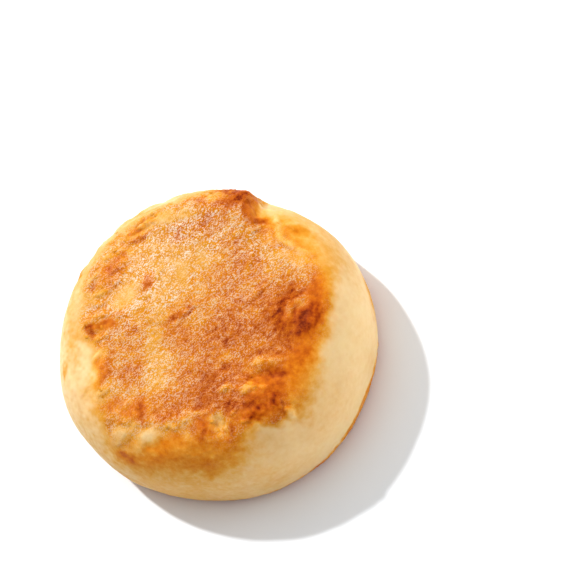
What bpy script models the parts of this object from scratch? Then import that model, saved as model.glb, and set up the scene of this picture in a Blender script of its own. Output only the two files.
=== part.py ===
"""A syrnik: one thick curd pancake, patted into a puck by hand and fried on both flat faces.

It rests on its browned lower face. The origin is the middle of the footprint, +Z is up, and Y runs
towards the side where the crust has risen into a lip. Lengths are in metres, except in the tables of
surface features, which are in millimetres and degrees as a cook would measure them on the pancake.
"""

import math

import bpy
from mathutils import Matrix, Vector, noise

MM = 0.001

# The puck before frying: a turned body with a flat top, a round shoulder and a small foot.
MEAN_RADIUS = 0.0322
HEIGHT = 0.0245
SHOULDER_REACH = 0.0082
SHOULDER_POWER = 2.3
BELLY_HEIGHT = 0.0088
FOOT_REACH = 0.0030
FOOT_POWER = 2.4
TOP_CROWN = 0.0004
PROFILE_STEPS = 14
TURN_STEPS = 120

# The plan is not quite round. It is a little oval and a little squared by the hands that patted it:
# the bulges in a turn, how many millimetres they stand out, and the bearing of one of them.
OUTLINE_BULGES = {
    "oval": (2, 0.75, 80),
    "squared": (4, 0.40, 52),
    "hand_ripple": (9, 0.08, 5),
}

# The middle of the upper crust, off the puck's own middle. The surface features and the lip are
# measured from it.
CRUST_MIDDLE = (0.0004, -0.0003)

# The top falls away early on the side towards this bearing, before the shoulder turns down. It does
# so where the cosine of the bearing off that side passes FROM, and fully where it passes FULL.
SOFT_SIDE_BEARING = 165
SOFT_SIDE_DROP = 0.0021
SOFT_SIDE_INNER = 0.0195
SOFT_SIDE_OUTER = 0.0300
SOFT_SIDE_FROM = -0.1
SOFT_SIDE_FULL = 0.8

# The lip: the crust has risen along the back edge. It climbs slowly from the left, and breaks off
# short along a line through LIP_END, which leans LIP_END_LEAN degrees to the left of +Y.
LIP_START = -42
LIP_PEAK = 6
LIP_END = (0.0112, 0.0235)
LIP_END_LEAN = 14
LIP_BREAK = 0.0015
LIP_HEIGHT = 0.0016
LIP_OVERHANG = 0.0006
LIP_RADIUS = 0.0272
LIP_WIDTH = 0.0062

# Past the broken end of the lip the rim lies lower, behind a groove that follows the crust's edge.
LEDGE_FADE_START = 40
LEDGE_FADE_END = 84
LEDGE_DROP = 0.0012
LEDGE_RADIUS = 0.0262
GROOVE_RADIUS = 0.0240
GROOVE_WIDTH = 0.0016
GROOVE_DEPTH = 0.0007

# Raised blisters, folds and crumbs of the upper crust: x, y, length, width, turn, height.
RAISED = {
    "scorched_blister": (23.0, -1.2, 8.0, 6.4, 30, 0.75),
    "scorched_blister_shelf": (17.6, 1.8, 6.4, 5.6, 80, 0.45),
    "blister_fold_low": (19.2, -1.6, 4.6, 1.7, 80, 0.55),
    "blister_fold_high": (20.6, 2.6, 4.4, 1.8, 35, 0.50),
    "left_scorched_fold": (-22.9, 0.4, 4.6, 2.6, 70, 0.70),
    "left_scorched_tail": (-20.0, 1.6, 5.4, 1.9, 12, 0.50),
    "left_lump_low": (-19.6, -9.4, 7.6, 3.4, 82, 0.40),
    "left_lump_high": (-20.2, 10.6, 9.0, 6.0, 60, 0.35),
    "back_fold_outer": (-14.6, 22.6, 12.0, 1.7, 31, 0.40),
    "back_fold_inner": (-14.8, 19.4, 10.5, 1.9, 33, 0.45),
    "small_blister_left": (-11.3, 9.0, 4.6, 3.4, 70, 0.35),
    "small_blister_mid": (-4.4, 1.6, 4.2, 2.2, 40, 0.35),
    "small_blister_low": (-13.2, -1.0, 2.4, 2.2, 0, 0.25),
    "flap_front_right": (14.6, -9.6, 5.2, 2.2, 8, 0.70),
    "flap_front_right_tail": (18.2, -9.2, 4.0, 2.0, -30, 0.35),
    "flap_front": (11.6, -14.5, 5.0, 2.3, 6, 0.75),
    "flap_front_crumb": (7.2, -14.6, 3.0, 1.6, 20, 0.40),
    "brown_knob_front": (13.6, -18.4, 6.4, 5.4, 20, 0.55),
    "brown_knob_front_right": (17.8, -19.2, 4.6, 4.2, 70, 0.45),
    "front_crest_left": (-15.0, -19.2, 8.4, 2.0, -8, 0.45),
    "front_crest_mid": (-5.6, -20.6, 9.0, 1.9, -2, 0.60),
    "front_crest_right": (0.8, -19.6, 5.0, 2.0, 22, 0.60),
    "front_tongue": (3.2, -22.8, 7.0, 4.0, -62, 0.60),
    "front_crumb_left": (-17.4, -13.6, 4.4, 2.0, 30, 0.45),
    "front_crumb_mid": (-10.6, -16.6, 6.0, 1.8, 86, 0.35),
    "brown_band_back": (7.4, 17.0, 14.0, 5.0, 84, 0.30),
    "slope_lump_left": (-14.0, -25.6, 7.0, 3.2, -14, 0.45),
    "slope_lump_front": (-3.0, -26.6, 10.0, 3.6, 2, 0.30),
    "back_right_patch": (17.6, 18.0, 7.0, 5.0, -40, 0.40),
}

# Hollows, where the pale curd has not touched the pan.
SUNK = {
    "pale_hollow_mid": (-6.8, -8.6, 12.0, 7.6, 84, 0.55),
    "pale_hollow_left": (-15.8, 6.2, 5.6, 4.6, 30, 0.45),
    "pale_hollow_back": (1.6, 13.4, 12.0, 6.0, 60, 0.25),
    "pale_hollow_front": (-7.6, -23.8, 8.6, 3.2, -4, 0.55),
    "torn_notch_front": (6.6, -21.4, 4.6, 2.6, 66, 0.75),
    "flap_shadow": (17.0, -11.8, 5.4, 2.4, 10, 0.45),
    "pin_hole": (6.3, -9.8, 1.5, 1.5, 0, 0.40),
    "fold_gap": (18.7, 4.6, 3.0, 2.2, 50, 0.30),
    "side_dent_front": (26.8, -14.4, 9.0, 5.0, 60, 0.30),
}

# Broad swell of the whole top, and lumps of curd that push up under the crust and in the side.
SWELL_SIZE = 0.0125
SWELL_HEIGHT = 0.00030
CURD_SIZE = 0.0034
CURD_HEIGHT = 0.00017
SIDE_SWELL_SIZE = 0.010
SIDE_SWELL_HEIGHT = 0.00028
SIDE_CURD_HEIGHT = 0.00007

# Where the relief of the top and of the side takes hold: shares of the height and of the radius.
TOP_RELIEF_FROM = 0.42
TOP_RELIEF_FULL = 0.86
SIDE_RELIEF_FROM = 0.62
SIDE_RELIEF_FULL = 0.96

# The ragged edge of the crust round the foot. The lowest skin of the puck is pressed flat.
FRINGE_FULL = 0.0009
FRINGE_TOP = 0.0022
FRINGE_SIZE = 0.0023
FRINGE_REACH = 0.00042
PRESSED_FLAT = 0.00045

REMESH_VOXEL = 0.00085
MOST_TRIANGLES = 8000

CRUST_COLOUR = (0.66, 0.25, 0.06, 1.0)
CRUST_ROUGHNESS = 0.5


def smooth_step(low, high, value):
    """0 below low, 1 above high, and an even slope between."""
    share = min(max((value - low) / (high - low), 0.0), 1.0)
    return share * share * (3.0 - 2.0 * share)


def quarter_arc(power, steps):
    """Points of a quarter of a superellipse, from (0, 1) to (1, 0)."""
    angles = [math.pi / 2 * step / steps for step in range(steps + 1)]
    return [(math.sin(a) ** (2 / power), math.cos(a) ** (2 / power)) for a in angles]


def half_profile():
    """The puck's outer side from the middle of the top down to the middle of the bottom, as (r, z)."""
    top_radius = MEAN_RADIUS - SHOULDER_REACH
    top_rise = HEIGHT - BELLY_HEIGHT
    foot_radius = MEAN_RADIUS - FOOT_REACH
    top = [(top_radius * share / 4, HEIGHT) for share in range(4)]
    shoulder = [
        (top_radius + SHOULDER_REACH * out, BELLY_HEIGHT + top_rise * up)
        for out, up in quarter_arc(SHOULDER_POWER, PROFILE_STEPS)
    ]
    foot = [
        (foot_radius + FOOT_REACH * out, BELLY_HEIGHT * (1.0 - up))
        for out, up in reversed(quarter_arc(FOOT_POWER, PROFILE_STEPS))
    ]
    bottom = [(foot_radius * share / 4, 0.0) for share in reversed(range(4))]
    return top + shoulder + foot[1:] + bottom


def applied(obj):
    """The object's mesh as its modifiers leave it."""
    graph = bpy.context.evaluated_depsgraph_get()
    mesh = bpy.data.meshes.new_from_object(obj.evaluated_get(graph))
    obj.modifiers.clear()
    return mesh


def turned_puck(collection):
    """The plain puck: the half profile turned about Z, then remeshed into even quads."""
    profile = half_profile()
    mesh = bpy.data.meshes.new("syrnik")
    edges = [(i, i + 1) for i in range(len(profile) - 1)]
    mesh.from_pydata([(r, 0.0, z) for r, z in profile], edges, [])
    obj = bpy.data.objects.new("syrnik", mesh)
    collection.objects.link(obj)

    turn = obj.modifiers.new("turn", "SCREW")
    turn.steps = turn.render_steps = TURN_STEPS
    turn.use_merge_vertices = True
    turn.merge_threshold = 0.00002

    even = obj.modifiers.new("even_quads", "REMESH")
    even.mode = "VOXEL"
    even.voxel_size = REMESH_VOXEL
    even.use_smooth_shade = True
    obj.data = applied(obj)
    obj.data.name = "syrnik"
    return obj


def outline_scale(bearing):
    """How far the plan reaches at a bearing, clockwise from +Y, as a share of the mean radius."""
    reach = sum(
        size * MM * math.cos(math.radians(bulges * (bearing - first)))
        for bulges, size, first in OUTLINE_BULGES.values()
    )
    return 1.0 + reach / MEAN_RADIUS


def mound(x, y, feature):
    """Height of one raised or sunk feature at a point of the plan: a smooth oval mound."""
    at_x, at_y, length, width, turn, height = feature
    away = Matrix.Rotation(-math.radians(turn), 2) @ Vector((x / MM - at_x, y / MM - at_y))
    squared = (2 * away.x / length) ** 2 + (2 * away.y / width) ** 2
    return height * MM * math.exp(-squared)


def past_lip_end(x, y):
    """0 on the lip's side of its broken end, 1 past it."""
    lean = math.radians(LIP_END_LEAN)
    past = (x - LIP_END[0]) * math.cos(lean) + (y - LIP_END[1]) * math.sin(lean)
    return smooth_step(-LIP_BREAK, 0.0, past) if y > 0 else 1.0


def lip_share(x, y):
    """How fully the lip has risen along the edge at a point: a slow climb, and a sudden break."""
    bearing = math.degrees(math.atan2(x, y))
    return smooth_step(LIP_START, LIP_PEAK, bearing) * (1.0 - past_lip_end(x, y))


def ledge_share(x, y):
    """How low the rim lies past the lip's broken end, fading out clockwise."""
    bearing = math.degrees(math.atan2(x, y))
    if bearing < 0:
        return 0.0
    return past_lip_end(x, y) * (1.0 - smooth_step(LEDGE_FADE_START, LEDGE_FADE_END, bearing))


def top_relief(x, y):
    """Height of the upper crust above the plain puck, at a point of the plan."""
    x, y = x - CRUST_MIDDLE[0], y - CRUST_MIDDLE[1]
    radius = math.hypot(x, y)
    height = TOP_CROWN * (1.0 - (radius / MEAN_RADIUS) ** 2)
    height += sum(mound(x, y, feature) for feature in RAISED.values())
    height -= sum(mound(x, y, feature) for feature in SUNK.values())

    lip = math.exp(-(((radius - LIP_RADIUS) / LIP_WIDTH) ** 2)) if radius < LIP_RADIUS else 1.0
    height += LIP_HEIGHT * lip * lip_share(x, y)
    ledge = ledge_share(x, y)
    height -= LEDGE_DROP * ledge * smooth_step(GROOVE_RADIUS, LEDGE_RADIUS, radius)
    height -= GROOVE_DEPTH * ledge * math.exp(-(((radius - GROOVE_RADIUS) / GROOVE_WIDTH) ** 2))

    soft_side = math.radians(SOFT_SIDE_BEARING)
    toward_soft = (x * math.sin(soft_side) + y * math.cos(soft_side)) / max(radius, MM)
    soft = smooth_step(SOFT_SIDE_FROM, SOFT_SIDE_FULL, toward_soft)
    height -= SOFT_SIDE_DROP * soft * smooth_step(SOFT_SIDE_INNER, SOFT_SIDE_OUTER, radius)

    place = Vector((x, y, 0.0))
    height += SWELL_HEIGHT * noise.noise(place / SWELL_SIZE)
    height += CURD_HEIGHT * noise.noise(place / CURD_SIZE)
    return height


def side_relief(point):
    """How far the side stands out from the plain puck: soft swells, small lumps of curd, the fringe."""
    swell = noise.noise(point / SIDE_SWELL_SIZE)
    curd = noise.noise(point / CURD_SIZE)
    low = 1.0 - smooth_step(FRINGE_FULL, FRINGE_TOP, point.z)
    ragged = noise.noise(point / FRINGE_SIZE)
    return SIDE_SWELL_HEIGHT * swell + SIDE_CURD_HEIGHT * curd + FRINGE_REACH * low * ragged


def moulded(point):
    """Where frying and handling leave a point of the plain puck."""
    plain_radius = math.hypot(point.x, point.y)
    bearing = math.degrees(math.atan2(point.x, point.y))
    upper = smooth_step(TOP_RELIEF_FROM, TOP_RELIEF_FULL, point.z / HEIGHT)
    rim = smooth_step(SIDE_RELIEF_FROM, SIDE_RELIEF_FULL, plain_radius / MEAN_RADIUS)

    reach = plain_radius * outline_scale(bearing)
    reach += rim * side_relief(point)
    reach += LIP_OVERHANG * rim * upper * lip_share(point.x, point.y)
    out = Vector((math.sin(math.radians(bearing)), math.cos(math.radians(bearing)))) * reach

    height = max(point.z - PRESSED_FLAT, 0.0) * HEIGHT / (HEIGHT - PRESSED_FLAT)
    height += upper * top_relief(out.x, out.y)
    return Vector((out.x, out.y, height))


def crust_material():
    material = bpy.data.materials.new("fried_curd")
    material.use_nodes = True
    shader = material.node_tree.nodes["Principled BSDF"]
    shader.inputs["Base Color"].default_value = CRUST_COLOUR
    shader.inputs["Roughness"].default_value = CRUST_ROUGHNESS
    shader.inputs["Metallic"].default_value = 0.0
    return material


def thin_out(obj):
    """Spends the triangles where the relief is, and leaves the smooth side and foot with few."""
    faces = sum(len(polygon.vertices) - 2 for polygon in obj.data.polygons)
    fewer = obj.modifiers.new("fewer_triangles", "DECIMATE")
    fewer.ratio = min(1.0, MOST_TRIANGLES / faces)
    fewer.use_collapse_triangulate = True
    obj.data = applied(obj)


def centre_footprint(mesh):
    """Puts the origin in the middle of the bounding box, on the plane that the puck rests on."""
    xs = [vertex.co.x for vertex in mesh.vertices]
    ys = [vertex.co.y for vertex in mesh.vertices]
    lowest = min(vertex.co.z for vertex in mesh.vertices)
    middle = Vector(((min(xs) + max(xs)) / 2, (min(ys) + max(ys)) / 2, lowest))
    mesh.transform(Matrix.Translation(-middle))


def clear_scene():
    for obj in list(bpy.data.objects):
        bpy.data.objects.remove(obj, do_unlink=True)


def main():
    clear_scene()
    collection = bpy.data.collections.new("syrnik")
    bpy.context.scene.collection.children.link(collection)
    obj = turned_puck(collection)
    for vertex in obj.data.vertices:
        vertex.co = moulded(vertex.co)
    thin_out(obj)
    centre_footprint(obj.data)
    obj.data.materials.append(crust_material())
    obj.data.shade_smooth()
    return obj


main()
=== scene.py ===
"""The looks of a syrnik: a thick curd-cheese pancake, pale at the side, fried brown on both faces."""

import itertools
import math

import bmesh
import bpy
import numpy as np
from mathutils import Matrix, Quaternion, Vector


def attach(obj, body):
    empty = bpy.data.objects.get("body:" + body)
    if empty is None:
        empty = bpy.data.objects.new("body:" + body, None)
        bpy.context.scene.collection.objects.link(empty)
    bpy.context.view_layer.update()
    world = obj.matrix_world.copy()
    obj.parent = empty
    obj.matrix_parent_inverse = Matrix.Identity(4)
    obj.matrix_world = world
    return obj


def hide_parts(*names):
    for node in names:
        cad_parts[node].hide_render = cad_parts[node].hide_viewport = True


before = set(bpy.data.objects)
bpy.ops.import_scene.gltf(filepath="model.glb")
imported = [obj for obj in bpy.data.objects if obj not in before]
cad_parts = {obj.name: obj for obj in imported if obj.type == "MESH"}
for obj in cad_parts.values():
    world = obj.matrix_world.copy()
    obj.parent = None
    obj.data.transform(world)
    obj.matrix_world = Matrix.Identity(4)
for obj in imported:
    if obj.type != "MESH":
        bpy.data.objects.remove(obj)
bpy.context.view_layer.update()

MM = 0.001

# Places on the crust are in millimetres from its middle, which is given here in metres: x to the
# right and y towards the lip. Heights are above the floor. Bearings are in degrees, clockwise from
# +Y. Browning goes from 0, cream, to 1, charred.
CRUST_MIDDLE = (0.0003, -0.0003)

# The photograph, in pixels, and where it shows the heart of the pancake.
PICTURE_SIZE = 584
HEART_PIXEL = (214.7, 343.7)
HEART_HEIGHT = 0.0125
PIXELS_PER_METRE = 4909
CAMERA_DISTANCE = 0.5
CAMERA_TILT = 28
CAMERA_BEARING = 140
SENSOR_WIDTH = 36

# Lights: name, strength, angle across, bearing, elevation.
SUNS = (
    ("key", 2.8, 3, -50, 51),
    ("overhead_softbox", 1.2, 85, -15, 60),
    ("side_softbox", 1.4, 55, 82, 15),
)
WORLD_STRENGTH = 0.32
FLOOR_SIZE = 4
FLOOR_COLOUR = (0.87, 0.90, 0.93)
FLOOR_ROUGHNESS = 0.9

# The mesh, in metres: how near points of the part are merged, the width of an even face, and the
# height above which faces are halved for the grain of the upper crust.
WELD_DISTANCE = 0.00001
BODY_VOXEL = 0.00056
REFINE_ABOVE = 0.015
SMOOTHING_SHARE = 0.5
SMOOTHING_ROUNDS = 6

# Where the browned crust ends: bearing, distance from the middle, width of the soft edge.
CRUST_EDGE = (
    (0, 32, 0.8), (16, 32, 0.8), (20, 30.6, 0.8), (23, 27.8, 0.9), (27, 26.0, 1.2), (36, 26.0, 2.4),
    (46, 26.6, 2.6), (58, 27.6, 2.6), (74, 27.8, 2.2), (90, 27.8, 2.0), (98, 26.8, 2.2),
    (104, 26.4, 2.6), (112, 26.9, 3.0), (121, 27.7, 3.0),
    (132, 28.4, 1.8), (138, 28.0, 1.2), (146, 25.6, 1.4), (155, 26.2, 1.6), (164, 28.2, 1.6),
    (176, 29.2, 1.6), (190, 28.8, 2.0), (200, 29.4, 1.8), (212, 29.8, 1.8), (219, 28.6, 2.2),
    (225, 26.8, 2.6), (233, 25.2, 2.4), (238, 23.8, 2.2), (245, 23.0, 2.0), (256, 22.0, 2.0),
    (265, 23.4, 2.0), (275, 26.4, 2.4), (288, 28.6, 2.8), (297, 29.8, 2.8), (310, 30.2, 2.8),
    (322, 30.0, 2.6), (336, 29.8, 2.4), (348, 30.4, 1.4),
)

# The browning at the middle of the crust, and how much it grows for each millimetre to the right
# and towards the lip.
CRUST_BROWNING = 0.58
BROWNING_DRIFT = (0.0044, -0.0036)

# Browner and paler places of the upper crust: x, y, half length, half width, bearing of the
# length, change of browning and, where it isn't the usual one, softness of the edge.
USUAL_SOFTNESS = 0.8
CRUST_PATCHES = (
    # paler places
    (-10, 13.5, 13, 7, 42, -0.12),
    (-15.8, 6.6, 3.4, 2.2, 45, -0.15),
    (-7.4, -9.5, 5, 2.8, 2, -0.15, 0.7),
    (-4.5, -9, 4, 2.4, 5, -0.06),
    (-2.6, -13, 1.4, 1.2, 0, -0.08, 0.7),
    (-7.8, 1.5, 6, 2.2, 4, -0.12),
    (-6, 23.6, 5.5, 1.5, 72, -0.12, 0.7),
    (14, 14, 6, 3.2, 20, -0.03, 0.7),
    (20.5, 12.8, 4.4, 2.2, 100, -0.13, 0.7),
    (1, 14, 7, 4.4, 25, -0.08),
    (-3.4, 9, 3.4, 1.8, 0, -0.1, 0.7),
    (12, 0.4, 4, 2, 0, -0.06),
    (15, -2.2, 2.2, 1.6, 60, -0.1),
    (-3, -3.6, 8, 1.6, 84, -0.07),
    (19.5, 13, 7, 4, 140, -0.09),
    (16, 9.6, 2.4, 1.4, 30, -0.07),
    (-21.5, 7.4, 3, 1.6, 60, -0.1),
    (-20.4, 7.2, 2.4, 1.2, 70, -0.08),
    (-18.4, 16.4, 1.8, 0.9, 60, -0.08),
    (-21, 14.4, 3, 1.2, 60, -0.07),
    (-11, 22.6, 4, 1.6, 62, -0.12),
    (-4, 22.4, 2.4, 0.9, 84, -0.13),
    (6.6, 21, 2.2, 1.2, 60, -0.1),
    (10.2, 16, 1.8, 1, 10, -0.08),
    (-8.8, -4, 3, 1.5, 2, -0.1),
    (-6, -13.4, 4, 1.6, 84, -0.08),
    (7, -8.6, 2, 1.2, 70, -0.08),
    (15.8, -4.4, 2.6, 1.2, 80, -0.07),
    (-18, -13.2, 3, 1.4, 70, -0.09),
    (2, -5, 1.6, 1.2, 0, -0.08),
    (11, 19, 2, 1.4, 20, -0.07),
    (-20, -6.6, 1.8, 1.2, 0, -0.1),
    (-15.6, -3.4, 1.6, 1.2, 0, -0.08),
    (-6.6, -6, 3.4, 1.2, 84, -0.08),
    (-4, 11.4, 2.6, 1.6, 0, -0.07),
    (1, 14, 2.4, 1.6, 0, -0.06),
    (22.4, -7.2, 3, 1.2, 50, -0.05),
    (11.8, -15.6, 1.4, 1, 0, -0.12),
    (16, 2, 2, 1.2, 60, -0.05),
    (17, 6.8, 1.4, 1.2, 0, -0.09),
    (21.4, 7.2, 1.4, 1, 0, -0.09),
    (-18, 16.2, 1.8, 1, 60, -0.08),
    (-21.6, 14.4, 2, 1.2, 60, -0.05),
    (-12, 24, 2.6, 1.2, 62, -0.1),
    (-4, 27, 3.4, 0.9, 80, -0.1),
    (14, -10.4, 1.4, 1.2, 0, -0.08),
    (7.4, -8, 2.4, 1.2, 60, -0.06),
    (0, 13.4, 1.6, 1.4, 0, -0.06),
    (25.5, -13, 5, 1.6, 28, -0.05, 0.9),
    (1.2, -13, 1.6, 1, 40, -0.08),
    (-27.5, 4, 11, 2.8, 2, -0.26, 0.9),
    (-25, 15.5, 6, 2.6, 32, -0.24, 0.9),
    (-18, 24, 8, 2.4, 55, -0.24, 0.9),
    (-6, 28.4, 7, 1.8, 78, -0.32),
    (-19, -15, 4, 1.2, 70, -0.14, 0.7),
    (-11.5, -14, 3, 1.2, 80, -0.12, 0.7),
    # browner places
    (-15.5, 11, 10, 4.5, 25, 0.08),
    (-2, 20.4, 9, 2.8, 85, 0.1),
    (2, -15, 4, 2.4, 30, 0.06),
    (2, -3.2, 10, 2.6, 84, 0.12),
    (7, -3, 12, 7, 80, 0.04),
    (4, -12, 6, 3, 70, 0.09, 0.7),
    (8, 13, 5, 2.6, 10, 0.08),
    (-14.5, -7, 6, 4, 0, 0.06),
    (-15, -10.5, 6, 2.4, 80, 0.08),
    (10.5, -6, 2.4, 2, 0, 0.07),
    (22.4, -6, 4.5, 2.6, 8, 0.07, 0.7),
    (17.4, -12.4, 3.4, 2.4, 40, 0.06, 0.7),
    (3.4, -17, 5, 1.4, 84, 0.08),
    (2.8, -19.8, 2.2, 0.8, 60, 0.1),
    (-4, -20.6, 1.8, 0.8, 80, 0.08),
    (-16.2, -17, 1.6, 1.2, 0, 0.08),
    (8, -18, 3.4, 1.1, 75, 0.11),
    (-11, 7.6, 1.8, 1, 50, 0.12),
    (-4.4, 19.2, 2, 1.1, 0, 0.16),
    (-6.4, 20.8, 1.4, 0.9, 70, 0.09),
    (1.4, 22, 1.8, 1, 60, 0.1),
    (-1.6, 25.4, 1.8, 0.9, 60, 0.07),
    (13.6, 22, 1.6, 1.2, 0, 0.08),
    (17.6, 18, 1.6, 1.2, 0, 0.08),
    (-9.4, -18.6, 1.6, 1, 0, 0.1),
    (-10.4, -11.4, 2.4, 1, 2, 0.07),
    (6.2, -10.6, 2.4, 1, 50, 0.08),
    (13, 11, 4.4, 1.2, 0, 0.07),
    (15.6, 5.6, 3.4, 1.2, 75, 0.08),
    (6.4, 1.4, 1.8, 1.2, 60, 0.07),
    (10.4, 25.6, 1.6, 1, 150, 0.08),
    (13, 22.4, 1.6, 1, 0, 0.07),
    (-18.8, -10.8, 1.6, 0.9, 20, 0.08),
    (-18.6, -8.6, 2.6, 1.1, 2, 0.14),
    (-2, 25.4, 3, 1, 84, 0.08),
    (9.8, 22.6, 1.8, 1.6, 0, 0.08),
    (23.4, -9.4, 2.4, 1.8, 10, 0.06),
    (-10, -16.4, 3.6, 0.9, 4, 0.09),
    (0.6, 22.2, 2.4, 0.9, 60, 0.09),
    (-4.6, 19, 2.4, 0.9, 50, 0.08),
    (-18, 13.4, 1.8, 1, 40, 0.08),
    (25.5, 8, 7, 2.4, 6, 0.08),
    # small spots and streaks of the left and back
    (-22, -0.9, 1.8, 0.9, 8, 0.30, 0.5),
    (-19.3, 0.6, 2.8, 0.9, 84, 0.28, 0.5),
    (-18.6, -1.4, 1.8, 1.2, 0, 0.06, 0.7),
    (-19, -6, 1.4, 1.1, 0, -0.12, 0.7),
    (-19, 12.8, 5, 3, 20, 0.14),
    (-19.6, 11, 2.4, 1.6, 30, 0.1, 0.7),
    (-22.5, 13.6, 1.6, 1, 60, 0.14, 0.6),
    (-27, 11.4, 2.6, 1.6, 0, 0.22, 0.6),
    (-23.2, 8.9, 1.5, 1, 60, 0.16, 0.5),
    (-24, 6, 3, 1.6, 0, -0.1, 0.7),
    (-13.4, 19.3, 2.2, 0.7, 68, 0.30, 0.5),
    (-13, 21.8, 4.6, 0.7, 62, 0.18, 0.5),
    (-13.2, 23.1, 1.8, 0.5, 62, 0.16, 0.5),
    (-15.6, 24.9, 2.6, 0.7, 60, 0.22, 0.5),
    (-17, 16.6, 3, 1.2, 40, 0.12, 0.6),
    (-10.7, 9.2, 2.4, 1.2, 14, 0.28, 0.7),
    (-4, 1.2, 1.5, 0.8, 30, 0.14, 0.6),
    (-1.8, 2.2, 2, 1.1, 50, 0.20, 0.6),
    (-12.6, -0.8, 1, 0.8, 0, 0.16, 0.6),
    (-16.4, 2.7, 1, 0.8, 0, 0.12, 0.6),
    (-16, -0.4, 2.4, 0.9, 70, 0.08, 0.7),
    (-21, -9.2, 3.2, 1.4, 2, 0.24, 0.7),
    (-19.4, -11.8, 1.4, 1.1, 0, 0.1, 0.6),
    (-16.4, -17, 3, 2, 70, 0.1, 0.7),
    (-9.6, -17.6, 2.6, 1.8, 165, 0.08, 0.7),
    (-12.4, -17.8, 1.4, 1.2, 0, 0.1, 0.7),
    (-4.5, -19.0, 2.4, 1.1, 90, 0.1, 0.7),
    # the lip
    (4, 28.8, 3.2, 1.2, 98, 0.16, 0.6),
    (6.2, 28, 3.4, 1, 108, 0.16, 0.7),
    (7, 26.6, 3.2, 1.8, 110, 0.14, 0.7),
    (8.4, 24.4, 2.2, 1.4, 150, 0.18, 0.7),
    (8.6, 26.2, 2.4, 1.3, 150, 0.1, 0.7),
    (5.4, 24.4, 1.6, 1.2, 60, 0.1, 0.7),
    (10.6, 22, 2.6, 1.5, 150, 0.1, 0.6),
    (12.8, 21, 2, 1.2, 110, 0.28, 0.7),
    (-2, 27.0, 3.4, 1.2, 80, 0.14, 0.6),
    (1, 25.4, 6, 1.2, 82, 0.08, 0.7),
    (2.4, 27.2, 1.2, 0.8, 20, -0.22, 0.6),
    (5.4, 28.2, 0.8, 0.5, 60, -0.25, 0.6),
    (4.6, 24.6, 3, 1.2, 100, 0.1, 0.7),
    # the golden corner under the lip's broken end
    (19.5, 19, 2.4, 1.5, 110, 0.1, 0.7),
    (22, 13.6, 2.4, 1.2, 120, 0.08, 0.7),
    (15.4, 21.4, 1.4, 0.9, 155, -0.22, 0.9),
    (16.2, 18.8, 1.2, 0.9, 165, -0.20, 0.9),
    (17, 16.6, 0.9, 0.8, 110, -0.14, 0.9),
    (21.4, 13.9, 2, 0.6, 122, -0.1, 0.9),
    # the two scorches at the right, with a pale ridge between them
    (20, 1.5, 8.5, 5.5, 60, 0.15, 0.9),
    (17, -0.6, 1.8, 1.4, 60, 0.1, 0.9),
    (23.6, -1, 3.2, 2.2, 40, 0.17, 0.9),
    (24.2, -1, 2.2, 1.1, 8, 0.28),
    (25.4, 0.4, 2.4, 1.3, 10, 0.12),
    (23.6, -3.4, 1.8, 1.2, 60, 0.08),
    (20.4, -1.4, 1.6, 1.1, 20, 0.06),
    (24.2, 1.6, 1.8, 1, 10, 0.08),
    (27, 2.4, 2, 1.2, 0, -0.05),
    (25.2, 5.6, 1.8, 1, 0, -0.05),
    (20.6, 4.8, 2.6, 1.8, 60, 0.07, 0.9),
    (21, 6.4, 2, 1.6, 0, 0.06, 0.9),
    (19.4, 0.8, 1.6, 0.8, 6, -0.08),
    (21.4, 2.2, 1.8, 0.9, 60, -0.16),
    (23, 3.6, 1.6, 0.9, 62, -0.12),
    (21.6, -2.2, 1.4, 0.9, 10, -0.1),
    # the flaps and knobs at the lower right
    (16.6, -7.6, 2.8, 0.9, 94, 0.08, 0.7),
    (14, -17.4, 3.2, 2.2, 60, 0.13, 0.7),
    (14.4, -19.2, 2.4, 1, 66, 0.14, 0.7),
    (17.8, -17.2, 1.8, 1, 5, 0.24),
    (13.8, -16, 1.8, 0.8, 80, 0.08),
    (13, -12.6, 1.6, 0.9, 70, 0.08),
    (18.6, -15.8, 1.2, 0.9, 0, 0.09),
    (15.8, -18, 1.4, 0.9, 0, -0.1),
    (16.4, -20.2, 1.6, 1, 60, -0.12),
    (20.2, -17, 1.6, 1.2, 50, -0.18),
    (19.6, -20.6, 1.8, 1, 50, 0.40, 0.7),
    (18, -14.6, 1.2, 1.2, 0, 0.06, 0.7),
    (20.6, -19, 0.8, 0.7, 0, 0.08, 0.6),
    (18.2, -11.7, 2.8, 1, 92, 0.14),
    (14, -15.2, 2.4, 0.7, 80, -0.1, 0.6),
    (11.8, -12.2, 1.6, 0.8, 80, 0.08, 0.6),
    (7, -9.8, 2.2, 1.4, 80, -0.08),
    (12.4, -14.5, 1.5, 0.7, 66, -0.16, 0.7),
    (15.8, -13.8, 1, 0.4, 80, -0.16, 0.7),
    (14, -9.2, 1.5, 0.8, 40, -0.08),
    (16.6, -8.7, 2.4, 0.8, 96, -0.08),
    (8, -14.2, 1.4, 0.8, 70, -0.16, 0.7),
    # the front slope
    (-14.2, -22, 2.8, 1.4, 80, -0.2),
    (-8, -22.6, 3, 1.5, 84, -0.25),
    (-12.6, -20.6, 3, 0.8, 84, -0.06),
    (-11.4, -20.6, 1.4, 0.9, 90, -0.14),
    (1.6, -20.6, 1.8, 0.9, 80, -0.12),
    (-7, -23.4, 8, 2.2, 92, -0.14),
    (-15.8, -26.2, 3.4, 1.4, 110, 0.32, 0.6),
    (-12, -25.2, 2.4, 0.7, 100, -0.12),
    (-18.4, -24, 2.4, 1, 135, 0.14, 0.6),
    (-12, -27.2, 3.6, 1, 100, 0.22, 0.6),
    (-9.4, -25.4, 1.8, 0.8, 0, 0.1, 0.6),
    (-3.4, -24, 2, 1, 80, 0.12, 0.6),
    (1.4, -26, 3.4, 0.9, 70, -0.1),
    (-4, -29.6, 7, 1.2, 92, -0.24),
    (8.2, -22.6, 1.4, 1, 0, 0.1),
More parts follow.
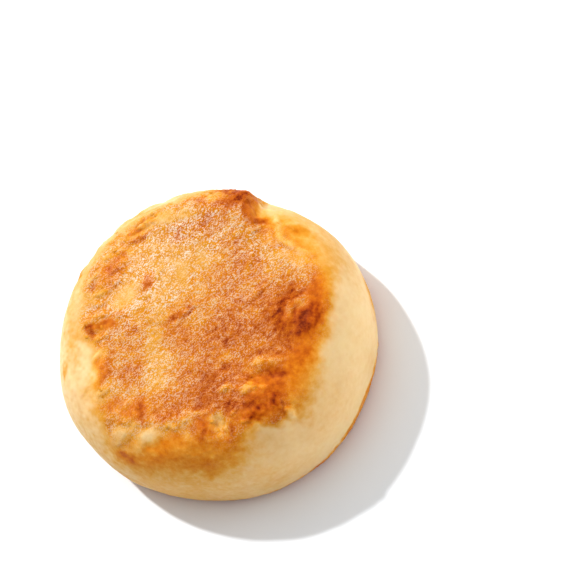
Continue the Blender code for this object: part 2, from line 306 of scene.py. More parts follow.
    (0, -21.2, 1.8, 0.9, 70, -0.24, 0.7),
    (5.6, -20.4, 1.6, 1.4, 0, -0.28, 0.7),
    (2.6, -22.6, 2.8, 1.6, 165, 0.12, 0.6),
    (6.8, -21.6, 2.6, 1.3, 160, -0.32, 0.6),
    (9, -22.4, 1.6, 1.2, 70, 0.08, 0.7),
    (-3.2, -21.4, 1.4, 0.7, 80, -0.24, 0.7),
    (3, -18.8, 3.2, 0.8, 68, -0.14, 0.7),
    (11.5, -22, 3.5, 1.3, 70, -0.06, 0.6),
    (6, -27, 4, 1.6, 80, -0.1, 0.7),
    (3, -24.6, 5, 2.4, 90, -0.06),
)

# Browner and paler places past the edge of the crust, written like the ones above.
MARGIN_PATCHES = (
    (-28.2, -8, 1.6, 0.9, 0, 0.30, 0.6),
    (-26.5, 3, 12, 2.5, 0, 0.13),
    (-25.4, -3.4, 6, 2, 0, 0.08),
    (-24, 16, 8, 2.5, 35, 0.08),
    (-17, 24, 8, 2.5, 58, 0.08),
    (-25, -13, 5, 2.5, 160, -0.02),
    (20.5, 18, 9, 4.2, 130, 0.21),
    (24.4, 17, 3, 1.6, 135, 0.06),
    (17.4, 17.6, 1.6, 1.2, 0, 0.1),
    (-15.6, 26.2, 3.4, 0.7, 60, 0.22, 0.7),
    (-12, 27.2, 2.6, 0.6, 66, 0.16, 0.7),
    (-21.4, 21.4, 2.2, 0.7, 48, 0.18, 0.7),
    (-24.6, 16.6, 2, 0.8, 35, 0.16, 0.7),
    (19.6, 19.4, 2.4, 1.5, 110, 0.16, 0.6),
    (26.8, 9, 6, 1.6, 170, 0.14, 0.9),
    (26.5, 0, 4, 1.2, 0, 0.08),
    (25.5, -15.5, 7, 2.6, 30, 0.08, 0.9),
    (-26.8, 13.6, 1.5, 1, 30, 0.55, 0.5),
    (-23, -19, 4, 3, 140, 0.02, 0.7),
    (28.4, 14, 6, 2, 160, 0.08),
    (12, -25, 7, 2, 65, 0.08),
    (20.5, 25, 7, 2, 128, 0.12, 0.9),
    (13.4, 27.4, 3.4, 1.6, 105, 0.08, 0.9),
    (27, 9, 2.4, 1.4, 0, 0.09),
)

# How far the edge of any oval reaches inwards and outwards, as shares of its size for a softness
# of 1, and the softness of places that are given with a share.
EDGE_INWARDS = 0.9
EDGE_OUTWARDS = 0.7
SHARE_SOFTNESS = 0.7

# Where the crust is bare and glazed, not grainy: x, y, half length, half width, bearing, share.
GLAZED_PATCHES = (
    (25, 2, 9, 2.4, 4, 0.9),
    (22.5, -10, 10, 4, 20, 1.0),
    (17, -13.5, 5.5, 3.4, 60, 0.9),
    (19.5, 16.5, 8, 3.4, 135, 0.6),
    (22, 0, 4, 3, 60, 0.6),
    (10.8, 24, 3.4, 1.4, 165, 0.9),
    (-19.8, -9.4, 4.4, 1.6, 2, 0.7),
    (-19.4, 0.6, 2.8, 1.1, 84, 0.9),
    (-15.6, 6.4, 3.6, 2.4, 45, 0.5),
    (-14, -17, 7, 2, 100, 0.6),
    (-2, -26.3, 17, 4.2, 92, 1.0),
    (4, -22, 3.2, 3, 0, 0.8),
    (14, -19.5, 8, 2.6, 66, 0.8),
    (-13, 22, 6.5, 2.4, 62, 0.6),
    (-17.6, 15, 4.4, 1.8, 40, 0.5),
    (-20, 12, 3.4, 2.4, 20, 0.5),
    (-10.7, 9.2, 2.6, 1.4, 14, 0.5),
    (4, 26.6, 7, 2.8, 95, 0.3),
)

# Where the pale flecks are thickest and whitest, towards the key light: painted glints and sheen,
# written like the glazed places.
GLINTY_PATCHES = (
    (-11, 14, 16, 10, 42, 1.0),
    (-1, 20, 9, 7, 70, 0.9),
    (12, 12, 8, 7, 30, 0.4),
    (-7, -9, 6, 4, 0, 0.3),
)

# Where the crust is torn and craggy, written like the glazed places.
CRAGGY_PATCHES = (
    (-17, 14, 8, 4, 30, 0.6),
    (-14, 21, 7, 2.4, 62, 0.9),
    (-18, 24, 9, 2.4, 52, 0.5),
    (-24.6, 15, 6, 2.4, 32, 0.5),
    (-21.5, 0, 3.5, 3, 0, 0.9),
    (-20, -14, 4.5, 2, 115, 0.6),
    (-12, -19, 8, 2.2, 82, 0.5),
    (-3, -20.3, 6, 1.6, 92, 0.6),
    (4, -20, 3, 2.4, 0, 0.6),
    (6.4, -22, 3.2, 2, 150, 0.6),
    (12, -13, 4.5, 3, 60, 0.8),
    (15.5, -9.6, 4.5, 1.8, 75, 0.7),
    (14, -17.5, 4.5, 3.2, 60, 0.7),
    (19, -18, 3.4, 2.6, 60, 0.6),
    (9, -20, 4.5, 1.8, 70, 0.6),
    (5, 27.5, 6, 2.2, 95, 0.9),
    (-1, 27, 5, 2.2, 80, 0.7),
    (12, 22, 3, 2.4, 0, 0.6),
    (16.5, 19.5, 3.6, 2.2, 120, 0.8),
    (20, 2, 5.5, 4.5, 40, 0.4),
    (-4, 1.5, 3.5, 1.8, 30, 0.5),
    (7, -10, 3, 2.4, 0, 0.5),
    (13, 9, 5, 4, 30, 0.3),
    (-23, 9, 4, 3, 10, 0.6),
    (-12, -25, 7, 2.5, 100, 0.4),
    (3, -26, 6, 2.5, 95, 0.5),
)

# Small folds and flaps of the crust: x, y, half length, half width, bearing of the length, rise.
CRUST_FOLDS = (
    # the left edge of the crust
    (-20.3, -6, 1.6, 0.7, 30, 0.45),
    (-18, -13.4, 1.3, 0.7, 70, 0.25),
    (-19.8, -1.9, 1.6, 0.6, 60, 0.3),
    (-20.5, 2.4, 2, 0.6, 76, 0.35),
    (-16.2, 2.3, 1, 0.5, 80, 0.25),
    (-13.6, 0.6, 0.9, 0.5, 140, 0.25),
    (-21, 5, 1.5, 0.5, 75, 0.3),
    (-20.8, 7.5, 1.6, 0.5, 65, 0.35),
    (-18.1, 9.1, 1.8, 0.5, 40, 0.25),
    (-22.8, 10.6, 1.8, 0.6, 40, 0.35),
    (-17.5, 13, 2.4, 0.6, 48, 0.3),
    (-20.6, 14.6, 2, 0.6, 44, 0.3),
    # the folds along the upper left
    (-13.2, 21.4, 3.6, 0.5, 62, 0.22),
    (-13.4, 20.2, 3.4, 0.5, 62, -0.2),
    (-12.2, 24, 4.2, 0.6, 62, 0.25),
    (-12.6, 22.8, 4.2, 0.45, 62, -0.2),
    (-8.4, 11.4, 1.8, 0.6, 30, 0.25),
    (-1.5, 2.7, 1.8, 0.5, 55, 0.3),
    (0.7, 3.6, 1.1, 0.4, 60, 0.22),
    (-4.6, 1.2, 1.4, 0.6, 30, -0.22),
    # the front crest
    (-13.1, -16.8, 1.1, 0.6, 10, 0.25),
    (-14.6, -22, 2.2, 1.5, 76, 0.45),
    (-8.2, -17.6, 2.4, 1.2, 8, 0.15),
    (-8.2, -22.8, 2.6, 1.5, 84, 0.55),
    (-4.4, -21.4, 0.8, 0.7, 60, 0.22),
    (-2.6, -21.6, 0.8, 0.7, 100, 0.22),
    (-0.8, -20.8, 0.8, 0.7, 60, 0.18),
    (1.8, -19.6, 1.2, 0.8, 65, 0.18),
    (4.0, -18.7, 1, 0.7, 60, 0.18),
    (4.9, -19.8, 1.4, 0.6, 155, 0.2),
    (8.4, -21.2, 1.8, 0.6, 20, 0.2),
    (-10.4, -24.4, 1.5, 1, 100, 0.18),
    (6.7, -21.7, 1.9, 1, 150, -0.5),
    # the flaps at the lower right
    (7.5, -14.4, 0.9, 0.6, 60, 0.35),
    (12.4, -14.4, 1.5, 1, 70, 0.32),
    (15.4, -14.2, 1.1, 0.7, 100, 0.24),
    (14.4, -9.4, 1.5, 0.9, 50, 0.18),
    (17, -8.8, 1.8, 0.8, 95, 0.1),
    (16.4, -11, 2.2, 1, 96, -0.1),
    (12, -20.5, 1, 0.5, 60, 0.40),
    (9.6, -19.1, 1, 0.5, 60, 0.3),
    (20.2, -18.5, 0.9, 0.8, 0, 0.40),
    (18.2, -17, 1.4, 0.6, 150, 0.35),
    (7, -9.8, 0.8, 0.7, 0, -0.1),
    (7, -8.9, 1, 0.4, 90, 0.12),
    # the curved ridge between the scorches
    (19.7, 0.4, 2.2, 0.9, 4, 0.2),
    (20.7, 3, 1.9, 0.9, 45, 0.22),
    (22.8, 4.2, 2.2, 0.8, 62, 0.18),
    (21.6, -0.4, 1.5, 0.6, 10, 0.14),
    (17.8, 3.6, 2.4, 1, 20, -0.1),
    (23.2, -0.6, 2, 1.2, 70, -0.1),
    (13.2, 6, 3.4, 0.7, 48, 0.25),
    (11, 13, 3, 0.6, 14, 0.25),
    # the crinkled line under the lip's broken end
    (15.2, 21.4, 1.3, 0.8, 150, 0.5),
    (16, 19.4, 1.2, 0.8, 170, 0.5),
    (16.7, 17.2, 1.2, 0.7, 155, 0.5),
    (18.6, 15.9, 1.5, 0.7, 105, 0.40),
    (21.6, 14, 2.2, 0.6, 122, 0.35),
    (19.2, 20.4, 2.4, 0.9, 120, 0.3),
    (13.2, 21.2, 1.4, 0.6, 100, -0.2),
    (11.8, 19.6, 1.6, 0.5, 30, 0.3),
    # the groove under the lip's broken end
    (12.2, 24, 2.4, 0.7, 165, -0.25),
)
FOLD_SOFTNESS = 0.85

# A raised fold gets painted light on its crest, this share of its length and width, and painted shade
# on its foot, which reaches this far past it. Feet that overlap add up to no more than the last
# number.
CREST_LENGTH = 0.85
CREST_WIDTH = 0.75
FOOT_REACH = 0.7
CREST_SOFTNESS = 0.9
MOST_FOOT = 0.5

# For each millimetre of rise: how much paler the painted light makes a crest, and how much browner
# the painted shade makes a foot or a groove.
PAINTED_LIGHT_ON_CRESTS = 0.30
PAINTED_SHADE_AT_FEET = 0.16
PAINTED_SHADE_IN_GROOVES = 0.40

# Where the rim is lower or higher than the part has it, written like the folds.
RIM_SHAPES = (
    (12.6, 27.8, 2.8, 2.2, 112, -1.1),
    (9.2, 27, 2.4, 1.2, 120, 0.7),
    (-13.6, 27.2, 3, 1, 64, 0.5),
    (-18.6, 24, 2.4, 1, 52, 0.4),
    (-22.6, 19.4, 2, 1, 40, 0.3),
    (-26.6, 13.8, 1.3, 1, 30, 0.3),
    (-7.6, 29.4, 2.6, 0.8, 76, 0.3),
)
RIM_SOFTNESS = 0.7

# Warm places of the side: bearing, height, half length, half height, change of browning.
SIDE_PATCHES = (
    (68, 6, 4, 3.5, 0.34),
    (77, 5.5, 3.5, 3, 0.14),
    (97, 6, 3, 4, 0.11),
    (120, 12, 14, 5, 0.03),
    (150, 10, 5, 4, 0.06),
    (186, 17, 12, 2.4, 0.04),
    (205, 18.5, 6, 2.4, 0.1),
    (218, 9, 3, 3, 0.1),
    (300, 9, 7, 4, 0.06),
    (250, 7, 6, 3, 0.05),
    (20, 8, 7, 4, 0.06),
)

# How brown the side is round the pancake: bearing, browning. Towards the front it is partly a real
# light tan and partly painted shade and warm bounce light.
SIDE_TAN_AND_SHADE = (
    (0, 0.08), (25, 0.12), (40, 0.14), (60, 0.10), (80, 0.05), (105, 0.03), (125, 0.04), (150, 0.12),
    (180, 0.28), (205, 0.30), (230, 0.18), (250, 0.06), (280, 0.12), (300, 0.10), (330, 0.05),
)

# The browned edge of the lower crust: bearing, height it reaches.
FOOT_RIM = (
    (0, 2.0), (40, 1.6), (62, 2.6), (80, 2.4), (98, 3.6), (110, 4.6), (118, 4.6), (130, 3.6),
    (150, 2.3), (175, 1.5), (200, 1.5), (230, 2.0), (262, 1.6), (300, 2.4), (330, 1.6),
)
RIM_BROWNING = 0.58
RIM_FADE = (-0.5, 0.7)
RIM_RAGGED = 0.3
RIM_GLAZE = 0.9
RIM_CRAGS = 0.5

# The browned lower face, a little browner in a ring along its edge.
UNDER_FACING = (0.3, 0.8)
UNDER_HEIGHTS = (0.2, 0.8)
UNDER_BROWNING = 0.52
RING_REACH = (20, 27)
RING_RAGGED = 2
RING_BROWNING = 0.10
UNDER_GRAIN = 0.5

# Heights between which the marks of the upper crust, its folds and its raised grain set in, and how
# far to the left the bare margin gets mottled.
UPPER_HEIGHTS = (9, 14)
FOLD_HEIGHTS = (14, 18)
FREE_HEIGHTS = (0.1, 1.0)
MOTTLED_LEFT = (4, 20)

# The crust is torn along its edge, but less where that edge is soft.
FRAY_WIDTH = 0.9
FRAY_CRAGS = 0.4
SOFT_EDGES = (1.4, 2.4)

# Torn crust is a little glazed, and glazed crust has hardly any grain.
CRAG_GLAZE = 0.4
SMOOTH_GLAZE = 0.95

# Layers of noise: amount, size in millimetres, seed. The drifts, in millimetres, make the outlines
# of patches and folds ragged, and the clouds change the browning.
DRIFT_X = ((0.7, 2.6, 11), (0.3, 0.9, 12))
DRIFT_Y = ((0.7, 2.6, 13), (0.3, 0.9, 14))
EDGE_DRIFT = ((0.9, 3.4, 21), (0.5, 1.2, 22))
CRUST_CLOUDS = ((0.05, 5.5, 31), (0.06, 1.7, 32))
SIDE_CLOUDS = ((0.03, 4.0, 33), (0.03, 1.1, 34))
MARGIN_CLOUDS = ((0.1, 0.7, 35),)
RIM_DRIFT = ((0.7, 1.3, 41),)
RIM_CLOUDS = ((0.14, 2.4, 42),)
UNDER_CLOUDS = ((0.10, 7.0, 51), (0.08, 2.2, 52))
FOLD_DRIFT_X = ((0.35, 1.3, 61), (0.15, 0.6, 62))
FOLD_DRIFT_Y = ((0.35, 1.3, 63), (0.15, 0.6, 64))

# Named inputs of the Geometry Nodes trees for the relief and the crumbs, in metres where they are
# sizes or heights. The relief's seed moves its textures.
RELIEF_INPUTS = (
    ("Grain Size", 0.0011), ("Grain Height", 0.00045),
    ("Crag Size", 0.0019), ("Crag Height", 0.0009),
    ("Fleck Size", 0.0009), ("Fleck Height", 0.0004),
    ("Curd Size", 0.0012), ("Curd Height", 0.00012),
    # Paler Per Metre makes higher relief paler and its hollows browner: partly uneven toasting,
    # partly painted light on the peaks and painted shade in the hollows.
    ("Crust Thickness", 0.00014), ("Paler Per Metre", 500.0),
    ("Least Browning", 0.42), ("Seed", 7.0),
)
CRUMB_INPUTS = (
    ("Crumbs Per Square Metre", 300000.0),
    ("Smallest", 0.00018), ("Largest", 0.00050),
    ("Flatness", 0.4), ("Dent", 0.00022),
    ("Paler", 0.10), ("Least Browning", 0.40),
    ("Seed", 3),
)

# Crumbs lie where the crust is more torn than this, and get paler by a random share of "Paler".
TORN_FROM = 0.35
PALER_SHARES = (-0.6, 1.6)
CRUMB_SEGMENTS = 7
CRUMB_RINGS = 5
DENTS_PER_METRE = 3200

# Numbers of the sockets of a Random Value node: low, high, result. And those of a Mix node.
RANDOM_SOCKETS = {"FLOAT_VECTOR": (0, 1, 0), "FLOAT": (2, 3, 1)}
MIX_SHARE, MIX_FIRST, MIX_SECOND, MIX_RESULT = (0, 6, 7, 2)

# Colours of the curd as it browns: browning, grainy colour, glazed colour.
CURD_COLOURS = (
    (0.0, (0.84, 0.60, 0.30), (0.88, 0.63, 0.31)),
    (0.15, (0.79, 0.51, 0.225), (0.86, 0.54, 0.21)),
    (0.3, (0.72, 0.38, 0.10), (0.82, 0.42, 0.085)),
    (0.45, (0.66, 0.285, 0.020), (0.75, 0.30, 0.028)),
    (0.6, (0.60, 0.203, 0.005), (0.67, 0.20, 0.006)),
    (0.75, (0.51, 0.122, 0.002), (0.55, 0.12, 0.003)),
    (0.9, (0.33, 0.050, 0.001), (0.36, 0.052, 0.001)),
    (1.0, (0.15, 0.013, 0.0005), (0.17, 0.015, 0.0005)),
)

# The pale flecks on top of the grain, partly dry grain and partly painted glints, in most places and
# where the painted glints are thickest, and how much of the colour below they hide.
WARM_FLECK_GLINT = (0.66, 0.54, 0.40, 1)
PALE_FLECK_GLINT = (0.82, 0.72, 0.59, 1)
FLECK_GLINT_COVER = 0.9

# The strokes and streaks of the crust run along one bearing: their sizes in metres, along x, y, z.
STROKE_TURN = 42
STROKE_SIZE = (0.00028, 0.00015, 0.0002)
STREAK_SIZE = (0.0042, 0.0011, 0.002)

# The clouds in the colour have no direction.
MOTTLES_PER_METRE = 900
BLOTCHES_PER_METRE = 260

# Flecks sit on the cells whose value is above this, and set in this fast.
FLECKS_FROM = 0.56
FLECK_SHARPNESS = 14

# How far a texture swings the browning or the roughness, from low to high.
CELL_SWING = -0.2
STREAK_SWING = -0.28
GRAIN_LIFT = 0.11
MOTTLE_SWING = 0.34
BLOTCH_SWING = 0.20
ROUGHNESS_SWING = 0.22

# How a value of the material follows another one: its growth, and what it is at 0. Golden crust
# is the browning, made steeper.
GOLDEN = (2.2, 0)
FLECKS_BY_STREAK = (2.6, -0.5)
FLECKS_BY_BROWNING = (-1.1, 1.1)
FLECKS_UNTIL_BURNT = (-6.0, 4.7)
FLECKS_ONCE_FRIED = (5.0, -0.9)
FLECKS_BY_CRAGS = (-0.55, 1.0)
FLECKS_BY_GLINTY = (0.4, 1.2)
CLOUDS_BY_GOLDEN = (0.6, 0.4)
CLOUDS_BY_AMBER = (0.6, 1.0)
ROUGHNESS_BY_AMBER = (-0.06, 0.50)
COAT_BY_FLECKS = (0.5, 0.02)
GLOW_BY_GRAIN = (-0.7, 1.0)
RELIEF_BY_GRAIN = (0.86, 0.14)

# The finish of the curd. The scale of its glow and the depths of its fine relief are in metres.
SPECULAR_LEVEL = 0.04
COAT_ROUGHNESS = 0.25
GLOW = 0.45
GLOW_RADIUS = (1.0, 0.5, 0.2)
GLOW_SCALE = 0.0015
RELIEF_DEPTH = 0.00012
GLINT_DEPTH = 0.00045


def smooth_step(low, high, value):
    """0 below low, 1 above high, and a smooth rise between them."""
    share = np.clip((value - low) / (high - low), 0, 1)
    return share * share * (3 - 2 * share)


def blend(first, second, share):
    return first + (second - first) * share


def corner_values(corners, seed):
    """A random value from -1 to 1 for each corner; large primes scatter the bits of its place."""
    mixed = corners[:, 0] * 73856093 ^ corners[:, 1] * 19349663 ^ corners[:, 2] * 83492791 ^ seed * 97
    mixed = (mixed ^ (mixed >> 13)) * 1274126177
    mixed = mixed ^ (mixed >> 16)
    return (mixed & 65535) / 32767.5 - 1


def lattice_noise(points, size, seed):
    """Smooth noise from -1 to 1, from random values on a lattice with corners this far apart."""
    place = points / size
    cell = np.floor(place).astype(np.int64)
    part = place - cell
    part = part * part * (3 - 2 * part)
    total = np.zeros(len(points))
    for corner in itertools.product((0, 1), repeat=3):
        weight = np.prod(np.where(np.array(corner) == 1, part, 1 - part), axis=1)
        total = total + weight * corner_values(cell + np.array(corner), seed)
    return total


def around(table, bearing, column=1):
    """The table's value at each bearing, going round the pancake without a break."""
    bearings = [row[0] for row in table]
    values = [row[column] for row in table]
    return np.interp(bearing, bearings, values, period=360)


def oval_share(across_x, across_y, length, width, turn, softness):
    """1 inside a turned oval and 0 outside it, with an edge of the given softness."""
    angle = math.radians(turn)
    along = across_x * math.sin(angle) + across_y * math.cos(angle)
    aside = across_x * math.cos(angle) - across_y * math.sin(angle)
    reach = np.hypot(along / length, aside / width)
    return 1 - smooth_step(1 - softness * EDGE_INWARDS, 1 + softness * EDGE_OUTWARDS, reach)


class Spots:
    """Points of the pancake as places on its crust, with x and y made to drift a little."""

    def __init__(self, points, drift_x, drift_y):
        self.place = points / MM - np.array((CRUST_MIDDLE[0] / MM, CRUST_MIDDLE[1] / MM, 0))
        self.height = self.place[:, 2]
        self.bearing = np.degrees(np.arctan2(self.place[:, 0], self.place[:, 1]))
        self.reach = np.hypot(self.place[:, 0], self.place[:, 1])
        self.drift_x = self.noise(drift_x)
        self.drift_y = self.noise(drift_y)
        self.x = self.place[:, 0] + self.drift_x
        self.y = self.place[:, 1] + self.drift_y

    def noise(self, layers):
        """The sum of layers of noise, each given as amount, size and seed."""
        return sum(amount * lattice_noise(self.place, size, seed) for amount, size, seed in layers)

    def inside(self, x, y, length, width, turn, softness=USUAL_SOFTNESS):
        """How far inside an oval on the crust each spot is."""
        return oval_share(self.x - x, self.y - y, length, width, turn, softness)

    def sum_of(self, patches):
        """The sum of the changes that the patches make."""
        total = 0
        for x, y, length, width, turn, change, *softness in patches:
            total = total + change * self.inside(x, y, length, width, turn, *softness)
        return total

    def most_of(self, patches):
        """The largest share that any of the patches has."""
        most = 0
        for *oval, share in patches:
            most = np.maximum(most, share * self.inside(*oval, SHARE_SOFTNESS))
        return most


def crust_browning(spots):
    """How brown the upper crust is."""
    drift = spots.x * BROWNING_DRIFT[0] + spots.y * BROWNING_DRIFT[1]
    return CRUST_BROWNING + drift + spots.noise(CRUST_CLOUDS) + spots.sum_of(CRUST_PATCHES)


def side_browning(spots, upper):
    """How brown the side is, and the bare margin round the upper crust."""
    # Partly painted shade: the side is browner towards the front.
    level = around(SIDE_TAN_AND_SHADE, spots.bearing) + spots.noise(SIDE_CLOUDS)
    level = level + spots.noise(MARGIN_CLOUDS) * smooth_step(*MOTTLED_LEFT, -spots.x) * upper
    level = level + spots.sum_of(MARGIN_PATCHES) * upper
    for bearing, height, length, half_height, change in SIDE_PATCHES:
        swing = (spots.bearing - bearing + 180) % 360 - 180
        along = np.radians(swing) * spots.reach + spots.drift_x
        above = spots.height - height + spots.drift_y
        level = level + change * oval_share(along, above, half_height, length, 0, USUAL_SOFTNESS)
    return level


def surface_marks(points, normals):
    """What the surface is like at points given in metres, as values from 0 to 1."""
    spots = Spots(points, DRIFT_X, DRIFT_Y)
    upper = smooth_step(*UPPER_HEIGHTS, spots.height)
    ragged = spots.noise(EDGE_DRIFT)
    past_edge = spots.reach - around(CRUST_EDGE, spots.bearing) - ragged
    soft = around(CRUST_EDGE, spots.bearing, 2)
    crust = (1 - smooth_step(-soft, soft, past_edge)) * upper
    browning = blend(side_browning(spots, upper), crust_browning(spots), crust)
    amber = spots.most_of(GLAZED_PATCHES) * upper

    rim_top = around(FOOT_RIM, spots.bearing) + spots.noise(RIM_DRIFT) + RIM_RAGGED * ragged
    rim = 1 - smooth_step(rim_top + RIM_FADE[0], rim_top + RIM_FADE[1], spots.height)
    browning = blend(browning, RIM_BROWNING + spots.noise(RIM_CLOUDS), rim)
    amber = np.maximum(amber, RIM_GLAZE * rim)

    under = smooth_step(*UNDER_FACING, -normals[:, 2])
    under = under * (1 - smooth_step(*UNDER_HEIGHTS, spots.height))
    ring = smooth_step(*RING_REACH, spots.reach + RING_RAGGED * ragged)
    under_level = UNDER_BROWNING + spots.noise(UNDER_CLOUDS) + RING_BROWNING * ring
    browning = blend(browning, under_level, under)
    amber = amber * (1 - under)
    grain = np.maximum(crust**3 * (1 - SMOOTH_GLAZE * amber), UNDER_GRAIN * under)

    crisp = 1 - smooth_step(*SOFT_EDGES, soft)
    frayed = np.exp(-((past_edge / FRAY_WIDTH) ** 2)) * upper * crisp
    craggy = np.maximum(spots.most_of(CRAGGY_PATCHES) * upper, FRAY_CRAGS * frayed)
    amber = np.maximum(amber, CRAG_GLAZE * craggy)
    craggy = np.maximum(craggy, RIM_CRAGS * rim)
    return {
        "browning": np.clip(browning, 0, 1),
        "amber": np.clip(amber, 0, 1),
        "grain": np.clip(grain, 0, 1),
        "crust": np.clip(crust, 0, 1),
        "craggy": np.clip(craggy, 0, 1),
        "glinty": spots.most_of(GLINTY_PATCHES),
        "free": smooth_step(*FREE_HEIGHTS, spots.height),
    }


def bearing_vector(bearing, elevation=0.0):
    """The unit vector towards a bearing, clockwise from +Y, at an elevation above the horizon."""
    turn = math.radians(bearing)
    rise = math.radians(elevation)
    flat = math.cos(rise)
    return Vector((math.sin(turn) * flat, math.cos(turn) * flat, math.sin(rise)))


def new_object(name, data):
    made = bpy.data.objects.new(name, data)
    bpy.context.scene.collection.objects.link(made)
    return made


def evaluated_mesh(obj):
    """The object's mesh as its modifiers leave it, as plain data."""
    graph = bpy.context.evaluated_depsgraph_get()
    return bpy.data.meshes.new_from_object(obj.evaluated_get(graph))


def welded_copy(node, name):
    """A new object with a copy of the CAD node's mesh, its loose triangles merged."""
    mesh = node.data.copy()
    mesh.name = name
    body = bmesh.new()
    body.from_mesh(mesh)
    bmesh.ops.remove_doubles(body, verts=body.verts, dist=WELD_DISTANCE)
    body.to_mesh(mesh)
    body.free()
    mesh.materials.clear()
    return new_object(name, mesh)


def refine_crust(mesh):
    """Halve the faces of the upper crust, where the grain is."""
    body = bmesh.new()
    body.from_mesh(mesh)
    edges = [edge for edge in body.edges if min(end.co.z for end in edge.verts) > REFINE_ABOVE]
    bmesh.ops.subdivide_edges(body, edges=edges, cuts=1, use_grid_fill=True)
    body.to_mesh(mesh)
    body.free()


def fine_body(node):
    """The pancake as an object of its own, with small, even faces."""
    piece = welded_copy(node, "fried_pancake")
    even = piece.modifiers.new("even", "REMESH")
    even.mode = "VOXEL"
    even.voxel_size = BODY_VOXEL
    soften = piece.modifiers.new("soften", "SMOOTH")
    soften.factor = SMOOTHING_SHARE
    soften.iterations = SMOOTHING_ROUNDS
    piece.data = evaluated_mesh(piece)
    piece.modifiers.clear()
    refine_crust(piece.data)
    return piece


def vector_rows(items, name):
    """One vector of each item, as the rows of an array."""
    rows = np.empty((len(items), 3))
    items.foreach_get(name, rows.ravel())
    return rows


def mesh_points(mesh):
    return vector_rows(mesh.vertices, "co")


def mesh_normals(mesh):
    return vector_rows(mesh.vertex_normals, "vector")


def move_points(mesh, points):
    mesh.vertices.foreach_set("co", points.ravel())
    mesh.update()


def write_marks(mesh):
    """Store the marks of the surface on the mesh, for the trees and the material to read."""
    marks = surface_marks(mesh_points(mesh), mesh_normals(mesh))
    for name, values in marks.items():
        layer = mesh.attributes.new(name, "FLOAT", "POINT")
        layer.data.foreach_set("value", values.astype(np.float32))


def raise_folds(mesh):
    """Push the small folds out of the upper crust, or into it, and paint light on their crests and
    shade at their feet and in their grooves.
    """
    points = mesh_points(mesh)
    spots = Spots(points, FOLD_DRIFT_X, FOLD_DRIFT_Y)
    rise = np.zeros(len(points))
    crest = np.zeros(len(points))
    spread = np.zeros(len(points))
    for x, y, length, width, turn, height in CRUST_FOLDS:
        rise = rise + height * spots.inside(x, y, length, width, turn, FOLD_SOFTNESS)
        if height > 0:
            narrow = (CREST_LENGTH * length, CREST_WIDTH * width)
            wide = (length + FOOT_REACH, width + FOOT_REACH)
            crest = crest + height * spots.inside(x, y, *narrow, turn, CREST_SOFTNESS)
            spread = spread + height * spots.inside(x, y, *wide, turn, CREST_SOFTNESS)
    folded = smooth_step(*FOLD_HEIGHTS, spots.height)
    rise = rise * folded
    rim = sum(height * spots.inside(*oval, RIM_SOFTNESS) for *oval, height in RIM_SHAPES)
    push = rise + rim * folded
    move_points(mesh, points + mesh_normals(mesh) * push[:, None] * MM)

    layer = mesh.attributes["browning"]
    browning = np.empty(len(points), dtype=np.float32)
    layer.data.foreach_get("value", browning)
    # Painted light and shade: crests are made paler, and feet and grooves browner.
    foot = np.clip(spread - crest, 0, MOST_FOOT)
    browning = browning - PAINTED_LIGHT_ON_CRESTS * crest - PAINTED_SHADE_IN_GROOVES * np.minimum(rise, 0)
    browning = np.clip(browning + PAINTED_SHADE_AT_FEET * foot, 0, 1)
    layer.data.foreach_set("value", browning.astype(np.float32))


def settle_on_floor(mesh):
    """Lift the points that lie below the floor."""
    points = mesh_points(mesh)
    points[:, 2] = np.maximum(points[:, 2], 0)
    move_points(mesh, points)


class NodeBench:
    """Adds nodes to a tree and links them."""

    def __init__(self, tree):
        self.tree = tree

    def node(self, kind, inputs=None, **settings):
        made = self.tree.nodes.new(kind)
        for name, value in settings.items():
            setattr(made, name, value)
        for name, value in (inputs or {}).items():
            self.feed(made.inputs[name], value)
        return made

    def feed(self, socket, value):
        """Link the socket to the value if that is a socket too, or else set it to the value."""
        if isinstance(value, bpy.types.NodeSocket):
            self.tree.links.new(value, socket)
        else:
            socket.default_value = value

    def math(self, operation, first, second=0.0, third=0.0, clamp=False):
        inputs = {0: first, 1: second, 2: third}
        return self.node("ShaderNodeMath", inputs, operation=operation, use_clamp=clamp).outputs[0]

    def chain(self, operation, first, *others):
        """The operation done on many values, one after the other."""
        for value in others:
            first = self.math(operation, first, value)
        return first

    def vector_math(self, operation, first, second):
        """The operation done on two vectors or, for SCALE, on a vector and a number."""
        inputs = {0: first, "Scale" if operation == "SCALE" else 1: second}
        return self.node("ShaderNodeVectorMath", inputs, operation=operation).outputs[0]

    def noise(self, vector, scale=1.0, detail=2.0, roughness=0.5):
        made = self.node(
            "ShaderNodeTexNoise",
            {"Vector": vector, "Scale": scale, "Detail": detail, "Roughness": roughness},
        )
        return made.outputs["Fac"]


